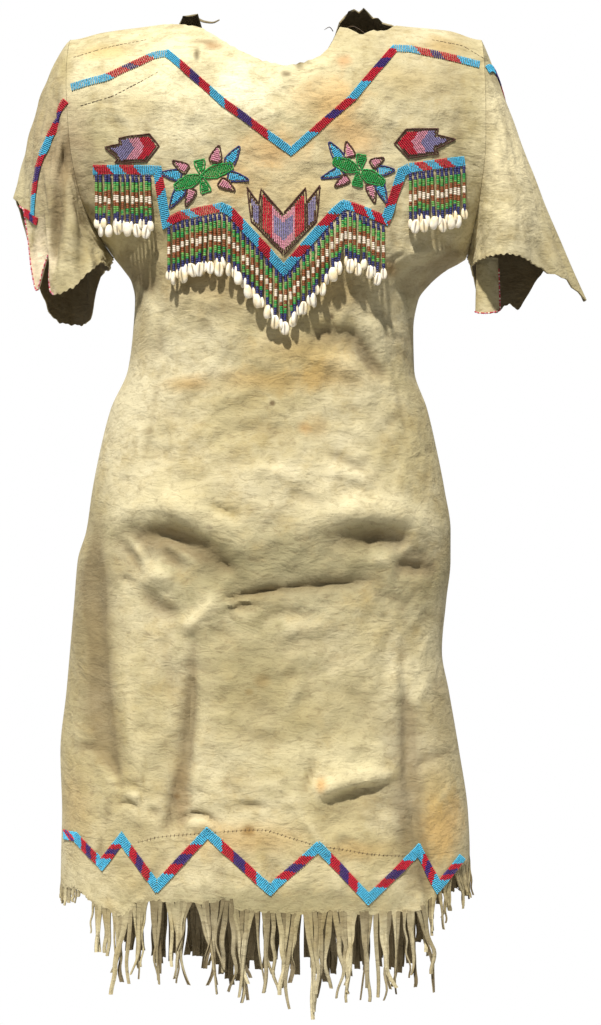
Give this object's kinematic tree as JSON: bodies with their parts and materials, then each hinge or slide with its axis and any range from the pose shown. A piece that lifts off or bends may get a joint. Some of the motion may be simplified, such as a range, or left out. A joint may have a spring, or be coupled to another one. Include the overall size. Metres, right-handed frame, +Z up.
{
  "type": "beaded hide dress",
  "caption": "Short-sleeved dress of soft hide, filled out as worn, with beaded zigzag bands, bead fringes ending in cowrie shells and a cut hide fringe at the hem.",
  "frame": {"origin": "middle of the shoulder line, where the wearer's shoulders hold the dress up", "axes": "+Z up, -Y towards the front of the dress, +X towards the viewer's right as the front is looked at"},
  "size_m": [0.664, 0.2983, 1.1402],
  "materials": {
    "hide": "soft brain-tanned hide, napped, cream to tan",
    "beads_blue": "opaque glass seed beads, mostly sky blue with red and purple",
    "beads_red": "opaque glass seed beads, mostly red with blue and purple",
    "beads_green": "opaque glass seed beads in green, navy, copper and cream, some with cowrie shells"
  },
  "bodies": {
    "root": {"body_front": "hide", "border_front": "hide", "body_back": "hide", "sleeve_left": "hide", "sleeve_right": "hide", "hem_fringe_front": "hide", "hem_fringe_back": "hide", "neck_band_front": "beads_blue", "neck_band_back": "beads_blue", "yoke_band": "beads_blue", "hem_band_front": "beads_red", "hem_band_back": "beads_red", "sleeve_band_left": "beads_red", "sleeve_band_right": "beads_red", "arrow_center": "beads_red", "arrow_left": "beads_red", "arrow_right": "beads_red", "flower_left": "beads_green", "flower_right": "beads_green", "fringe_left": "beads_green", "fringe_center": "beads_green", "fringe_right": "beads_green"}
  },
  "joints": []
}
